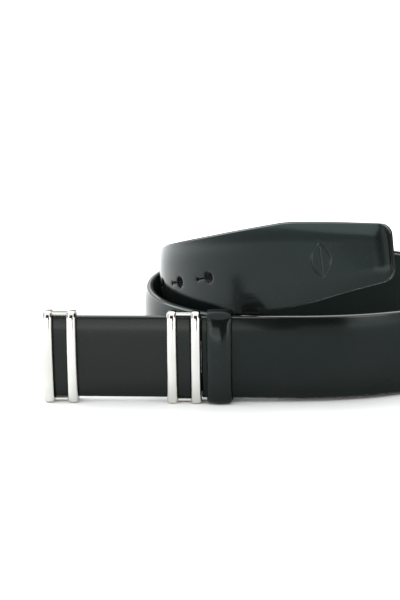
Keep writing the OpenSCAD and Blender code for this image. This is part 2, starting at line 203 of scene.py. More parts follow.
def hole_patch(rows, cols, hs):
    """2-D mesh of the rectangle round one keyhole, without the keyhole: points (s, u) and triangles"""
    s0, s1, u0, u1 = rows[0], rows[-1], cols[0], cols[-1]
    pts, edges = [], []
    loop = [(s, u0) for s in rows] + [(s1, u) for u in cols[1:]] + [(s, u1) for s in rows[::-1][1:]] + [(s0, u) for u in cols[::-1][1:-1]]
    pts += loop
    edges += [(i, (i + 1) % len(loop)) for i in range(len(loop))]
    o = len(pts)
    pts += [(x + hs, y) for x, y in KEY]
    edges += [(o + i, o + (i + 1) % len(KEY)) for i in range(len(KEY))]
    for off in (0.13, 0.3, 0.55):                      # rows of points round the rim
        for i, (x, y) in enumerate(KEY):
            ax, ay = KEY[i - 1]
            bx, by = KEY[(i + 1) % len(KEY)]
            tx, ty = bx - ax, by - ay
            n = math.hypot(tx, ty)
            px, py = x - ty / n * off, y + tx / n * off
            if float(key_sdf(np.array(px), np.array(py))) > off * 0.9:
                pts.append((px + hs, py))
    for s in np.arange(s0 + 0.45, s1 - 0.3, 0.5):
        for u in np.arange(u0 + 0.45, u1 - 0.3, 0.5):
            if float(key_sdf(np.array(s - hs), np.array(u))) > 0.8:
                pts.append((s, u))
    out, _, faces, source, _, _ = delaunay_2d_cdt([Vector((p[0] - hs, p[1])) for p in pts], edges, [], 0, 1e-6, True)
    out = np.array([pts[source[i][0]] if source[i] and source[i][0] < len(pts) else (v.x + hs, v.y) for i, v in enumerate(out)])
    tris = []
    for f in faces:
        c = out[list(f)].mean(0)
        if s0 < c[0] < s1 and u0 < c[1] < u1 and key_sdf(c[0] - hs, c[1]) > 0:
            a, b, d = out[list(f)]
            if (b[0] - a[0]) * (d[1] - a[1]) - (b[1] - a[1]) * (d[0] - a[0]) < 0:
                f = f[::-1]
            tris.append(tuple(f))
    return out, tris


class Sheet:
    """collects points (mm) and faces with a normal for each face corner where one is known"""

    def __init__(self):
        self.v, self.f, self.n, self.m = [], [], [], []
        self.count = 0

    def add(self, pts, faces, normals=None, mat=0):
        o = self.count
        self.v.append(np.asarray(pts, float))
        self.count += len(pts)
        for k, f in enumerate(faces):
            self.f.append(tuple(int(i) + o for i in f))
            self.n.append(None if normals is None else [tuple(normals[i]) for i in f])
            self.m.append(mat if isinstance(mat, int) else int(mat[k]))

    def build(self, name, mats, angle=32):
        me = bpy.data.meshes.new(name)
        me.from_pydata((np.concatenate(self.v) * MM).tolist(), [], self.f)
        me.update()
        for m in mats:
            me.materials.append(m)
        me.polygons.foreach_set("material_index", self.m)
        me.polygons.foreach_set("use_smooth", [True] * len(self.f))
        # weld on coordinates, keeping the given corner normals
        co = np.round(np.concatenate(self.v), 4)
        _, first, inv = np.unique(co, axis=0, return_index=True, return_inverse=True)
        inv = inv.ravel()
        faces, norms, mi = [], [], []
        for f, n, m in zip(self.f, self.n, self.m):
            g = [int(inv[i]) for i in f]
            keep = [i for i in range(len(g)) if g[i] != g[i - 1]]
            if len(set(g[i] for i in keep)) < 3:
                continue
            faces.append([g[i] for i in keep])
            norms.append([(0, 0, 0)] * len(keep) if n is None else [n[i] for i in keep])
            mi.append(m)
        used = sorted({i for f in faces for i in f})
        new = np.zeros(len(first), int)
        new[used] = np.arange(len(used))
        faces = [[int(new[i]) for i in f] for f in faces]
        me2 = bpy.data.meshes.new(name)
        me2.from_pydata((co[first][used] * MM).tolist(), [], faces)
        me2.update()
        for m in mats:
            me2.materials.append(m)
        me2.polygons.foreach_set("material_index", mi)
        me2.polygons.foreach_set("use_smooth", [True] * len(faces))
        me2.set_sharp_from_angle(angle=math.radians(angle))
        flat = [c for f in norms for c in f]
        if any(c != (0, 0, 0) for c in flat):
            me2.normals_split_custom_set(flat)
        bpy.data.meshes.remove(me)
        ob = bpy.data.objects.new(name, me2)
        bpy.context.scene.collection.objects.link(ob)
        return ob


def num_normals(fn, s, q, es=0.06, eq=0.03):
    a = fn(s + es, q) - fn(s - es, q)
    b = fn(s, q + eq) - fn(s, q - eq)
    n = np.cross(a, b)
    n /= np.maximum(np.linalg.norm(n, axis=-1, keepdims=True), 1e-12)
    return n


def grid_faces(nr, nc, skip=()):
    out = []
    for i in range(nr - 1):
        for j in range(nc - 1):
            if any(a <= i < b and c <= j < d for a, b, c, d in skip):
                continue
            out.append((i * nc + j, (i + 1) * nc + j, (i + 1) * nc + j + 1, i * nc + j + 1))
    return out


PATCH_U = np.array([-4.0, -3.0, -2.0, -1.0, 0.0, 1.0, 2.0, 3.0, 4.0])


def spans(rows):
    """row index ranges of the keyhole rectangles"""
    out = []
    for hs in HOLE_S:
        a = int(np.argmin(np.abs(rows - (hs - 10.4))))
        b = int(np.argmin(np.abs(rows - (hs + 4.6))))
        out.append((a, b, hs))
    return out


def rim(faces, qs):
    """material 1, the waxed upper edge, for faces inside the rolled edge"""
    return [1 if sum(qs[i] for i in f) / len(f) > HW - EDGE_R else 0 for f in faces]


def layer(sh, fn, rows, cols, flip=False, mat=0, normals=True, holes=True, painted=False):
    """one surface of the strap over rows x cols with the keyholes left out"""
    j0 = int(np.argmin(np.abs(cols - PATCH_U[0])))
    j1 = int(np.argmin(np.abs(cols - PATCH_U[-1])))
    gs, gq = np.meshgrid(rows, cols, indexing="ij")
    pts = fn(gs, gq)
    skip = [(a, b, j0, j1) for a, b, _ in spans(rows)] if holes else []
    faces = grid_faces(len(rows), len(cols), skip)
    nn = num_normals(fn, gs, gq).reshape(-1, 3) if normals else None
    if flip:
        faces = [f[::-1] for f in faces]
        nn = None if nn is None else -nn
    sh.add(pts.reshape(-1, 3), faces, nn, rim(faces, gq.ravel()) if painted else mat)
    if holes:
        for a, b, hs in spans(rows):
            p2, tris = hole_patch(list(rows[a:b + 1]), list(cols[j0:j1 + 1]), hs)
            pts = fn(p2[:, 0], p2[:, 1])
            nn = num_normals(fn, p2[:, 0], p2[:, 1]) if normals else None
            if flip:
                tris = [t[::-1] for t in tris]
                nn = None if nn is None else -nn
            sh.add(pts, tris, nn, mat)


def hole_walls(sh, top, bottom, rows, mat=0, steps=4):
    """the punched sides between two layers"""
    for hs in HOLE_S:
        k = np.array(KEY)
        a, b = top(k[:, 0] + hs, k[:, 1]), bottom(k[:, 0] + hs, k[:, 1])
        rings = [a + (b - a) * t for t in np.linspace(0, 1, steps)]
        n = len(k)
        pts = np.concatenate(rings)
        faces = [(r * n + i, (r + 1) * n + i, (r + 1) * n + (i + 1) % n, r * n + (i + 1) % n) for r in range(steps - 1) for i in range(n)]
        sh.add(pts, faces, None, mat)


# ------------------------------------------------------------------ materials
def new_mat(name):
    m = bpy.data.materials.new(name)
    m.use_nodes = True
    nt = m.node_tree
    nt.nodes.clear()
    out = nt.nodes.new("ShaderNodeOutputMaterial")
    b = nt.nodes.new("ShaderNodeBsdfPrincipled")
    nt.links.new(b.outputs[0], out.inputs[0])
    return m, nt, b


def node(nt, kind, **kw):
    n = nt.nodes.new(kind)
    for k, v in kw.items():
        if k in n.inputs:
            n.inputs[k].default_value = v
        else:
            setattr(n, k, v)
    return n


def ramp(nt, fac, stops):
    r = nt.nodes.new("ShaderNodeValToRGB")
    e = r.color_ramp.elements
    while len(e) < len(stops):
        e.new(0.5)
    for el, (p, c) in zip(e, stops):
        el.position = p
        el.color = (*c, 1) if len(c) == 3 else c
    nt.links.new(fac, r.inputs[0])
    return r.outputs[0]


def gloss_leather(name, dark, light, rough=(0.15, 0.19), coat=0.06, bump=0.004, spec=0.14, tint=(0.76, 1.0, 0.95)):
    """burnished dress leather: fine pores, slow colour drift, waxed surface"""
    m, nt, b = new_mat(name)
    tc = nt.nodes.new("ShaderNodeTexCoord")
    drift = node(nt, "ShaderNodeTexNoise", Scale=38.0, Detail=3.0, Roughness=0.55)
    fine = node(nt, "ShaderNodeTexNoise", Scale=900.0, Detail=4.0, Roughness=0.6)
    pores = node(nt, "ShaderNodeTexVoronoi", Scale=2300.0)
    wave = node(nt, "ShaderNodeTexNoise", Scale=95.0, Detail=1.0, Roughness=0.4)
    for n in (drift, fine, pores, wave):
        nt.links.new(tc.outputs["Object"], n.inputs["Vector"])
    nt.links.new(ramp(nt, drift.outputs[0], [(0.3, dark), (0.7, light)]), b.inputs["Base Color"])
    mr = nt.nodes.new("ShaderNodeMapRange")
    mr.inputs["From Min"].default_value, mr.inputs["From Max"].default_value = 0.3, 0.7
    mr.inputs["To Min"].default_value, mr.inputs["To Max"].default_value = rough
    nt.links.new(fine.outputs[0], mr.inputs[0])
    nt.links.new(mr.outputs[0], b.inputs["Roughness"])
    b.inputs["Specular IOR Level"].default_value = spec
    b.inputs["IOR"].default_value = 1.5
    b.inputs["Specular Tint"].default_value = (*tint, 1)
    b.inputs["Coat Weight"].default_value = coat
    b.inputs["Coat Roughness"].default_value = 0.08
    b.inputs["Coat IOR"].default_value = 1.5
    b1 = nt.nodes.new("ShaderNodeBump")
    b1.inputs["Strength"].default_value = 0.35
    b1.inputs["Distance"].default_value = bump * MM * 4
    nt.links.new(pores.outputs["Distance"], b1.inputs["Height"])
    b2 = nt.nodes.new("ShaderNodeBump")
    b2.inputs["Strength"].default_value = 0.5
    b2.inputs["Distance"].default_value = 0.05 * MM
    nt.links.new(wave.outputs[0], b2.inputs["Height"])
    nt.links.new(b1.outputs[0], b2.inputs["Normal"])
    nt.links.new(b2.outputs[0], b.inputs["Normal"])
    return m


def matt_leather(name, dark, light, rough=0.75, scale=420.0, bump=0.06, sheen=0.15):
    """split or nubuck lining"""
    m, nt, b = new_mat(name)
    tc = nt.nodes.new("ShaderNodeTexCoord")
    drift = node(nt, "ShaderNodeTexNoise", Scale=55.0, Detail=5.0, Roughness=0.6)
    fine = node(nt, "ShaderNodeTexNoise", Scale=scale * 4, Detail=6.0, Roughness=0.7)
    for n in (drift, fine):
        nt.links.new(tc.outputs["Object"], n.inputs["Vector"])
    nt.links.new(ramp(nt, drift.outputs[0], [(0.3, dark), (0.72, light)]), b.inputs["Base Color"])
    mr = nt.nodes.new("ShaderNodeMapRange")
    mr.inputs["To Min"].default_value, mr.inputs["To Max"].default_value = rough - 0.08, rough + 0.08
    nt.links.new(fine.outputs[0], mr.inputs[0])
    nt.links.new(mr.outputs[0], b.inputs["Roughness"])
    b.inputs["Specular IOR Level"].default_value = 0.22
    b.inputs["Specular Tint"].default_value = (0.7, 1.0, 0.92, 1)
    b.inputs["Sheen Weight"].default_value = sheen
    b.inputs["Sheen Roughness"].default_value = 0.5
    bp = nt.nodes.new("ShaderNodeBump")
    bp.inputs["Strength"].default_value = 0.6
    bp.inputs["Distance"].default_value = bump * MM
    nt.links.new(fine.outputs[0], bp.inputs["Height"])
    nt.links.new(bp.outputs[0], b.inputs["Normal"])
    return m


def metal(name, light, dark, rough=(0.04, 0.09), bump=0.004, scale=300.0, edge=(0.5, 0.48, 0.44)):
    m, nt, b = new_mat(name)
    tc = nt.nodes.new("ShaderNodeTexCoord")
    n1 = node(nt, "ShaderNodeTexNoise", Scale=scale, Detail=4.0, Roughness=0.6)
    n2 = node(nt, "ShaderNodeTexNoise", Scale=60.0, Detail=2.0, Roughness=0.5)
    for n in (n1, n2):
        nt.links.new(tc.outputs["Object"], n.inputs["Vector"])
    nt.links.new(ramp(nt, n2.outputs[0], [(0.35, dark), (0.65, light)]), b.inputs["Base Color"])
    mr = nt.nodes.new("ShaderNodeMapRange")
    mr.inputs["To Min"].default_value, mr.inputs["To Max"].default_value = rough
    nt.links.new(n1.outputs[0], mr.inputs[0])
    nt.links.new(mr.outputs[0], b.inputs["Roughness"])
    b.inputs["Metallic"].default_value = 1.0
    b.inputs["Specular Tint"].default_value = (*edge, 1)
    bp = nt.nodes.new("ShaderNodeBump")
    bp.inputs["Strength"].default_value = 0.3
    bp.inputs["Distance"].default_value = bump * MM
    nt.links.new(n1.outputs[0], bp.inputs["Height"])
    nt.links.new(bp.outputs[0], b.inputs["Normal"])
    return m


LEATHER = gloss_leather("strap_gloss", (0.0034, 0.0044, 0.0043), (0.0052, 0.0067, 0.0064))
LEATHER_P = gloss_leather("panel_gloss", (0.0042, 0.0045, 0.0044), (0.0064, 0.0069, 0.0066), spec=0.20, tint=(0.86, 1.0, 0.95))
LEATHER_K = gloss_leather("keeper_gloss", (0.0036, 0.0047, 0.0046), (0.0056, 0.0072, 0.0070), rough=(0.11, 0.15), coat=0.12, spec=0.15)
EDGE_PAINT = gloss_leather("edge_paint", (0.0034, 0.0044, 0.0043), (0.0052, 0.0067, 0.0064), rough=(0.16, 0.22), coat=0.4, spec=0.5, tint=(0.9, 1.0, 0.97))
LINING_M = matt_leather("lining_nubuck", (0.0022, 0.0038, 0.0033), (0.0042, 0.0066, 0.0058), sheen=0.01)
CORE_M = matt_leather("core_board", (0.010, 0.010, 0.009), (0.022, 0.020, 0.018), rough=0.85)
NICKEL = metal("polished_nickel", (0.64, 0.635, 0.61), (0.57, 0.56, 0.535))
STEEL = metal("satin_steel", (0.60, 0.60, 0.60), (0.50, 0.50, 0.50), rough=(0.22, 0.34), bump=0.01)

# ------------------------------------------------------------------ strap
rows = stations()
edge_q = [HW - v for v in (0.0, 0.08, 0.17, 0.27, 0.38, 0.5, 0.62, EDGE_R, 1.1, 1.5, 1.8, 1.95, 2.1, 2.25, 2.4, 2.7, 3.3, 4.2, 5.4, 6.8, 8.4, 10.0, 11.7)]
cols = np.array(sorted([-q for q in edge_q] + edge_q + list(PATCH_U)))
sh = Sheet()
# refine the pressed mark: extra rows and columns there
mark_rows = np.arange(MARK_S - 5.6, MARK_S + 5.61, 0.2)
m0, m1 = int(np.argmin(np.abs(rows - (MARK_S - 7.0)))), int(np.argmin(np.abs(rows - (MARK_S + 7.0))))
tip_rows = np.array(sorted(set(np.round(np.concatenate([rows[:m0 + 1], mark_rows, rows[m1:]]), 5))))
mark_cols = np.array(sorted(set(np.round(np.concatenate([cols, np.arange(-9.4, 9.41, 0.2)]), 5))))
mark_cols = mark_cols[np.concatenate([[True], np.diff(mark_cols) > 0.02])]
# up to the mark on the plain columns, then on the fine ones, joined by a fan row
ra = rows[:m0 + 1]
layer(sh, lambda s, q: face_point(s, q), ra, cols, painted=True)
rb = np.concatenate([[rows[m0]], mark_rows, rows[m1:]])
gs, gq = np.meshgrid(rb[1:], mark_cols, indexing="ij")
fp = lambda s, q: face_point(s, q)
gf = grid_faces(len(rb) - 1, len(mark_cols))
sh.add(fp(gs, gq).reshape(-1, 3), gf, num_normals(fp, gs, gq).reshape(-1, 3), rim(gf, gq.ravel()))


def fan(sh, fn, s_a, cols_a, s_b, cols_b):
    """triangles between a coarse row and a fine row"""
    pts = [(s_a, q) for q in cols_a] + [(s_b, q) for q in cols_b]
    p = np.array(pts)
    i, j, na = 0, 0, len(cols_a)
    faces = []
    while i < len(cols_a) - 1 or j < len(cols_b) - 1:
        if j < len(cols_b) - 1 and (i == len(cols_a) - 1 or cols_b[j + 1] <= cols_a[i + 1] + 1e-9):
            faces.append((i, na + j, na + j + 1))
            j += 1
        else:
            faces.append((i, na + j, i + 1))
            i += 1
    sh.add(fn(p[:, 0], p[:, 1]), faces, num_normals(fn, p[:, 0], p[:, 1]), rim(faces, p[:, 1]))


fan(sh, fp, rows[m0], cols, rb[1], mark_cols)
srf_rows = np.concatenate([ra, rb[1:]])


def zip_rows(sh, pa, ua, pb, ub, flip=False):
    """triangles between two rows of points, each with its place along the row"""
    i, j, na = 0, 0, len(pa)
    faces = []
    while i < na - 1 or j < len(pb) - 1:
        if j < len(pb) - 1 and (i == na - 1 or ub[j + 1] <= ua[i + 1] + 1e-9):
            faces.append((i, na + j, na + j + 1))
            j += 1
        else:
            faces.append((i, na + j, i + 1))
            i += 1
    sh.add(np.concatenate([pa, pb]), [f[::-1] for f in faces] if flip else faces)


def side(sh, rows_, sign, v_from, v_to, inset, steps, mat=0, flip=False):
    """upright side band from the face's edge down to the joint line"""
    top = face_point(rows_, np.full(len(rows_), sign * HW))
    rings = [top]
    for t in np.linspace(0, 1, steps + 1)[1:]:
        low = flat_point(rows_, sign * (HW - inset * t), v_from + (v_to - v_from) * t)
        rings.append(low)
    pts = np.concatenate(rings)
    n = len(rows_)
    faces = []
    for r in range(len(rings) - 1):
        for i in range(n - 1):
            f = (r * n + i, (r + 1) * n + i, (r + 1) * n + i + 1, r * n + i + 1)
            faces.append(f if (sign > 0) ^ flip else f[::-1])
    sh.add(pts, faces, None, mat)
    return rings


v_edge = HT - CROWN - EDGE_D
bot = LIN_TOP + 0.03
side_p = side(sh, srf_rows, 1, v_edge, bot, 0.05, 4, mat=1, flip=True)
side_m = side(sh, srf_rows, -1, v_edge, bot, 0.05, 4, flip=True)


def in_top(s, u):
    """underside of the face leather"""
    s, u = np.broadcast_arrays(np.asarray(s, float), np.asarray(u, float))
    f = HW / (HW - SKIN_T)
    v = np.maximum(bot + 0.15, HT + top_v(u * f, HW) - SKIN_T)
    return flat_point(s, u, v)


HI = HW - SKIN_T
in_cols = np.array(sorted([-HI, -HI + 1.5, -12.5, -9, -6.2, HI, HI - 1.5, 12.5, 9, 6.2] + list(PATCH_U)))
in_rows = srf_rows[srf_rows < LEN - 1.5]
layer(sh, in_top, in_rows, in_cols, flip=True, normals=False)
hole_walls(sh, fp, in_top, rows)
# folded edges of the face: narrow ledges on the lining side, and both ends
for sign in (1, -1):
    a = flat_point(in_rows, sign * (HW - 0.05), bot)
    b = flat_point(in_rows, sign * HI, bot)
    c = in_top(in_rows, np.full(len(in_rows), sign * HI))
    n = len(in_rows)
    fs = []
    for r in range(2):
        for i in range(n - 1):
            f = (r * n + i, (r + 1) * n + i, (r + 1) * n + i + 1, r * n + i + 1)
            fs.append(f[::-1] if sign > 0 else f)
    sh.add(np.concatenate([a, b, c]), fs)
# buckle end: the cut edge of the face leather, open for the hinge tongue
aside = np.arange(1, 5) * 0.01
outer = [r[0] for r in side_m[:0:-1]] + list(fp(np.full(len(cols), rows[0]), cols)) + [r[0] for r in side_p[1:]]
outer_u = np.concatenate([-HW - aside[::-1], cols, HW + aside])
inner = np.concatenate([flat_point(rows[0], np.array([-HI]), bot), in_top(np.full(len(in_cols), rows[0]), in_cols), flat_point(rows[0], np.array([HI]), bot)])
inner_u = np.concatenate([[-HI - 0.5], in_cols, [HI + 0.5]])
zip_rows(sh, np.array(outer), outer_u, inner, inner_u, flip=True)
# tip: a solid end past the last inner row, with a flat underside
under = np.concatenate([[-(HW - 0.05)], np.linspace(-HI, HI, 9), [HW - 0.05]])
tail_rows = srf_rows[srf_rows >= in_rows[-1] - 1e-6]
gs, gq = np.meshgrid(tail_rows, under, indexing="ij")
sh.add(flat_point(gs, gq, bot).reshape(-1, 3), [f[::-1] for f in grid_faces(len(tail_rows), len(under))])
outer = [r[-1] for r in side_m[-2:0:-1]] + list(fp(np.full(len(mark_cols), rows[-1]), mark_cols)) + [r[-1] for r in side_p[1:-1]]
outer_u = np.concatenate([-HW - aside[:3][::-1], mark_cols, HW + aside[:3]])
zip_rows(sh, np.array(outer), outer_u, flat_point(rows[-1], under, bot), under)
zip_rows(sh, in_top(np.full(len(in_cols), in_rows[-1]), in_cols), in_cols, flat_point(in_rows[-1], under[1:-1], bot), under[1:-1], flip=True)
strap_face = sh.build("strap_leather", [LEATHER, EDGE_PAINT])

# core, seen only in the walls of the holes
sh = Sheet()
HC = (HW - SKIN_T) * 0.975
core_cols = np.array(sorted([-HC, -HC + 1.5, -12, -9, -6, HC, HC - 1.5, 12, 9, 6] + list(PATCH_U)))
core_rows = rows[(rows > -1) & (rows < LEN - 2)]
core_top = lambda s, u: flat_point(s, u, np.maximum(LIN_TOP + 0.4, HT + top_v(np.asarray(u) * HW / HC, HW) - SKIN_T - 0.09))
core_bot = lambda s, u: flat_point(s, u, LIN_TOP + 0.06)
layer(sh, core_top, core_rows, core_cols, normals=False)
layer(sh, core_bot, core_rows, core_cols, flip=True, normals=False)
hole_walls(sh, core_top, core_bot, core_rows, steps=3)
for sign in (1, -1):
    a = core_top(core_rows, np.full(len(core_rows), sign * HC))
    b = core_bot(core_rows, np.full(len(core_rows), sign * HC))
    n = len(core_rows)
    fs = [(i, n + i, n + i + 1, i + 1) for i in range(n - 1)]
    sh.add(np.concatenate([a, b]), [f[::-1] for f in fs] if sign > 0 else fs)
for s_, rev in ((core_rows[0], False), (core_rows[-1], True)):
    n = len(core_cols)
    t, b = core_top(np.full(n, s_), core_cols), core_bot(np.full(n, s_), core_cols)
    fs = [(i, i + 1, n + i + 1, n + i) for i in range(n - 1)]
    sh.add(np.concatenate([t, b]), [f[::-1] for f in fs] if rev else fs)
strap_core = sh.build("strap_core", [CORE_M])

# lining
sh = Sheet()
HL = HW - 0.12
LB = -HT
lin_top = lambda s, u: flat_point(s, u, LIN_TOP)


def lin_bot(s, q):
    s, q = np.broadcast_arrays(np.asarray(s, float), np.asarray(q, float))
    th = np.clip((np.abs(q) - (HL - 0.45)) / 0.45, 0, 1) * math.pi / 2
    u = np.where(th > 0, np.sign(q) * (HL - 0.45 + 0.45 * np.sin(th)), q)
    v = LB + 0.45 * (1 - np.cos(th))
    for hs in HOLE_S:
        near = np.abs(s - hs) < 12
        if near.any():
            d = np.maximum(key_sdf(s - hs, u), 0)
            v = v + np.where(near, 0.12 * np.exp(-(d / 0.3) ** 2), 0)
    e = np.maximum(0, 1 - (LEN - s) / 0.5)
    v = v + 0.35 * (1 - np.sqrt(np.maximum(0, 1 - e ** 2)))
    return flat_point(s, u, v)


lq = [HL - v for v in (0, 0.06, 0.13, 0.22, 0.32, 0.45, 1.2, 2.6, 4.6, 7, 10)]
lcols = np.array(sorted([-q for q in lq] + lq + list(PATCH_U)))
layer(sh, lin_bot, rows, lcols, flip=True)
tcols = np.array(sorted([-HL, HL, -8.0, 8.0] + list(PATCH_U)))
layer(sh, lin_top, rows, tcols, normals=False)
hole_walls(sh, lin_top, lin_bot, rows, steps=4)
for sign in (1, -1):
    a = lin_top(rows, np.full(len(rows), sign * HL))
    b = lin_bot(rows, np.full(len(rows), sign * HL))
    n = len(rows)
    fs = [(i, n + i, n + i + 1, i + 1) for i in range(n - 1)]
    sh.add(np.concatenate([a, b]), [f[::-1] for f in fs] if sign > 0 else fs)
for s_, rev in ((rows[0], True), (rows[-1], False)):
    zip_rows(sh, lin_top(np.full(len(tcols), s_), tcols), tcols, lin_bot(np.full(len(lcols), s_), lcols), lcols, flip=rev)
strap_lining = sh.build("strap_lining_leather", [LINING_M])

for ob, cadn, sl in ((strap_face, "strap_face", "leather_gloss"), (strap_core, "strap_filler", "core"), (strap_lining, "strap_lining", "leather_lining")):
    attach(ob, "strap")
    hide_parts(cadn)

# ------------------------------------------------------------------ buckle panel
PIN_X, FRAME_PITCH, BAR_PITCH = -16.13, 52.1, 10.0
BAR_X = [PIN_X - FRAME_PITCH - BAR_PITCH, PIN_X - FRAME_PITCH, PIN_X - BAR_PITCH, PIN_X]
PX0, PX1 = BAR_X[0] - 1.6, PIN_X - 2.1
ZC = FRONT_LIFT + HW


def panel_top(x, q):
    x, q = np.broadcast_arrays(np.asarray(x, float), np.asarray(q, float))
    aq = np.abs(q)
    th = np.clip((aq - (HW - EDGE_R)) / EDGE_R, 0, 1) * math.pi / 2
    u = np.where(th > 0, np.sign(q) * (HW - EDGE_R + EDGE_R * np.sin(th)), q)
    v = HT + top_v(u, HW) - EDGE_D * (1 - np.cos(th))
    for e in (x - PX0, PX1 - x):
        b = np.clip(1 - e / 0.7, 0, 1)
        v = v - 0.45 * (1 - np.sqrt(np.maximum(0, 1 - b ** 2)))
    return np.stack([x, -v, ZC + u], -1) + SHIFT


def panel_flat(x, u, v):
    x, u, v = np.broadcast_arrays(np.asarray(x, float), np.asarray(u, float), np.asarray(v, float))
    return np.stack([x, -v, ZC + u], -1) + SHIFT


xr = np.array([PX0 + v for v in (0, 0.04, 0.12, 0.25, 0.45, 0.7)] + list(np.linspace(PX0 + 2, PX1 - 2, 40)) + [PX1 - v for v in (0.7, 0.45, 0.25, 0.12, 0.04, 0)])
sh = Sheet()
gs, gq = np.meshgrid(xr, cols, indexing="ij")
gf = grid_faces(len(xr), len(cols))
sh.add(panel_top(gs, gq).reshape(-1, 3), gf, num_normals(panel_top, gs, gq).reshape(-1, 3), rim(gf, gq.ravel()))
xi = np.clip(xr, PX0 + 0.6, PX1 - 0.6)                 # the leather turned in at both ends
n = len(xr)
for sign in (1, -1):
    rings = [panel_top(xr, np.full(n, sign * HW))] + [panel_flat(xr, sign * u, v) for u, v in ((HW, -0.1), (HW - 0.02, -0.45), (HW - 0.05, bot))]
    rings += [panel_flat(xi, sign * u, v) for u, v in ((HI, bot), (HI, bot + 0.2), (12.0, HT - SKIN_T - 0.15), (0.0, HT - SKIN_T))]
    fs = []
    for r in range(len(rings) - 1):
        for i in range(n - 1):
            f = (r * n + i, (r + 1) * n + i, (r + 1) * n + i + 1, r * n + i + 1)
            fs.append(f[::-1] if sign > 0 else f)
    sh.add(np.concatenate(rings), fs, None, [1 if sign > 0 and i < 3 * (n - 1) else 0 for i in range(len(fs))])
for s_, si, rev in ((xr[0], xi[0], True), (xr[-1], xi[-1], False)):
    low = [(HW, -0.1), (HW - 0.02, -0.45)]
    outer = np.concatenate([panel_flat(s_, np.array([-u for u, _ in low[::-1]]), np.array([v for _, v in low[::-1]])), panel_top(np.full(len(cols), s_), cols),
                            panel_flat(s_, np.array([u for u, _ in low]), np.array([v for _, v in low]))])
    outer_u = np.concatenate([[-HW - 0.02, -HW - 0.01], cols, [HW + 0.01, HW + 0.02]])
    zip_rows(sh, outer, outer_u, panel_flat(s_, under, bot), under, flip=rev)
    turn = under[1:-1]
    zip_rows(sh, panel_flat(s_, under, bot), under, panel_flat(si, turn, bot), turn, flip=rev)
    up = np.array([-HI, -12.0, 0.0, 12.0, HI])
    upv = np.array([bot + 0.2, HT - SKIN_T - 0.15, HT - SKIN_T, HT - SKIN_T - 0.15, bot + 0.2])
    zip_rows(sh, panel_flat(si, turn, bot), turn, panel_flat(si, up, upv), up, flip=rev)
panel = sh.build("buckle_panel_leather", [LEATHER_P, EDGE_PAINT])
sh = Sheet()


def pl_bot(x, q):
    x, q = np.broadcast_arrays(np.asarray(x, float), np.asarray(q, float))
    th = np.clip((np.abs(q) - (HL - 0.45)) / 0.45, 0, 1) * math.pi / 2
    u = np.where(th > 0, np.sign(q) * (HL - 0.45 + 0.45 * np.sin(th)), q)
    return panel_flat(x, u, LB + 0.45 * (1 - np.cos(th)))


gs, gq = np.meshgrid(xr, lcols, indexing="ij")
sh.add(pl_bot(gs, gq).reshape(-1, 3), [f[::-1] for f in grid_faces(len(xr), len(lcols))], -num_normals(pl_bot, gs, gq).reshape(-1, 3))
gs, gq = np.meshgrid(xr, np.array([-HL, 0, HL]), indexing="ij")
sh.add(panel_flat(gs, gq, LIN_TOP).reshape(-1, 3), grid_faces(len(xr), 3))
for sign in (1, -1):
    a, b = panel_flat(xr, sign * HL, LIN_TOP), pl_bot(xr, np.full(n, sign * HL))
    fs = [(i, n + i, n + i + 1, i + 1) for i in range(n - 1)]
    sh.add(np.concatenate([a, b]), [f[::-1] for f in fs] if sign > 0 else fs)
for s_, rev in ((xr[0], True), (xr[-1], False)):
    tri = np.array([-HL, 0, HL])
    zip_rows(sh, panel_flat(s_, tri, LIN_TOP), tri, pl_bot(np.full(len(lcols), s_), lcols), lcols, flip=rev)
panel_lining = sh.build("buckle_panel_lining", [LINING_M])
for ob, cadn, sl in ((panel, "panel_face", "leather_gloss"), (panel_lining, "panel_lining", "leather_lining")):
    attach(ob, "buckle")
    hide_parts(cadn)

# ------------------------------------------------------------------ keeper
KX0, KW = -11.6, 10.5
K_Y0, K_Y1 = -HT - 0.3, HT + 4.3
K_Z0, K_Z1 = FRONT_LIFT - 0.4, FRONT_LIFT + STRAP_W + 0.4


def loop_path(y0, y1, z0, z1, rf, rb, n=14, m=26, rl=None):
    """closed line in the YZ plane, from the middle of the front up and round: points and outward normals"""
    pts, nor = [], []
    rl = rl or rf                                      # front radius at the bottom

    def line(a, b, nn, k):
        for t in np.linspace(0, 1, k, endpoint=False):
            pts.append((a[0] + (b[0] - a[0]) * t, a[1] + (b[1] - a[1]) * t))
            nor.append(nn)

    def arc(cy, cz, r, a0, a1, k):
        for t in np.linspace(0, 1, k, endpoint=False):
            a = a0 + (a1 - a0) * t
            pts.append((cy + r * math.cos(a), cz + r * math.sin(a)))
            nor.append((math.cos(a), math.sin(a)))

    line((y0, z0 + rl), (y0, z1 - rf), (-1, 0), m)
    arc(y0 + rf, z1 - rf, rf, math.pi, math.pi / 2, n)
    line((y0 + rf, z1), (y1 - rb, z1), (0, 1), 5)
    arc(y1 - rb, z1 - rb, rb, math.pi / 2, 0, n // 2)
    line((y1, z1 - rb), (y1, z0 + rb), (1, 0), m)
    arc(y1 - rb, z0 + rb, rb, 0, -math.pi / 2, n // 2)
    line((y1 - rb, z0), (y0 + rl, z0), (0, -1), 5)
    arc(y0 + rl, z0 + rl, rl, -math.pi / 2, -math.pi, n)
    return np.array(pts), np.array(nor)


KP = 4.1                                               # padding at the front


def bow(z, z0, z1, amount, power):
    """how far a bowed front falls back at height z"""
    t = np.clip((z - (z0 + z1) / 2) / ((z1 - z0) / 2), -1, 1)
    return amount * np.abs(t) ** power * np.where(t < 0, 0.5, 1)


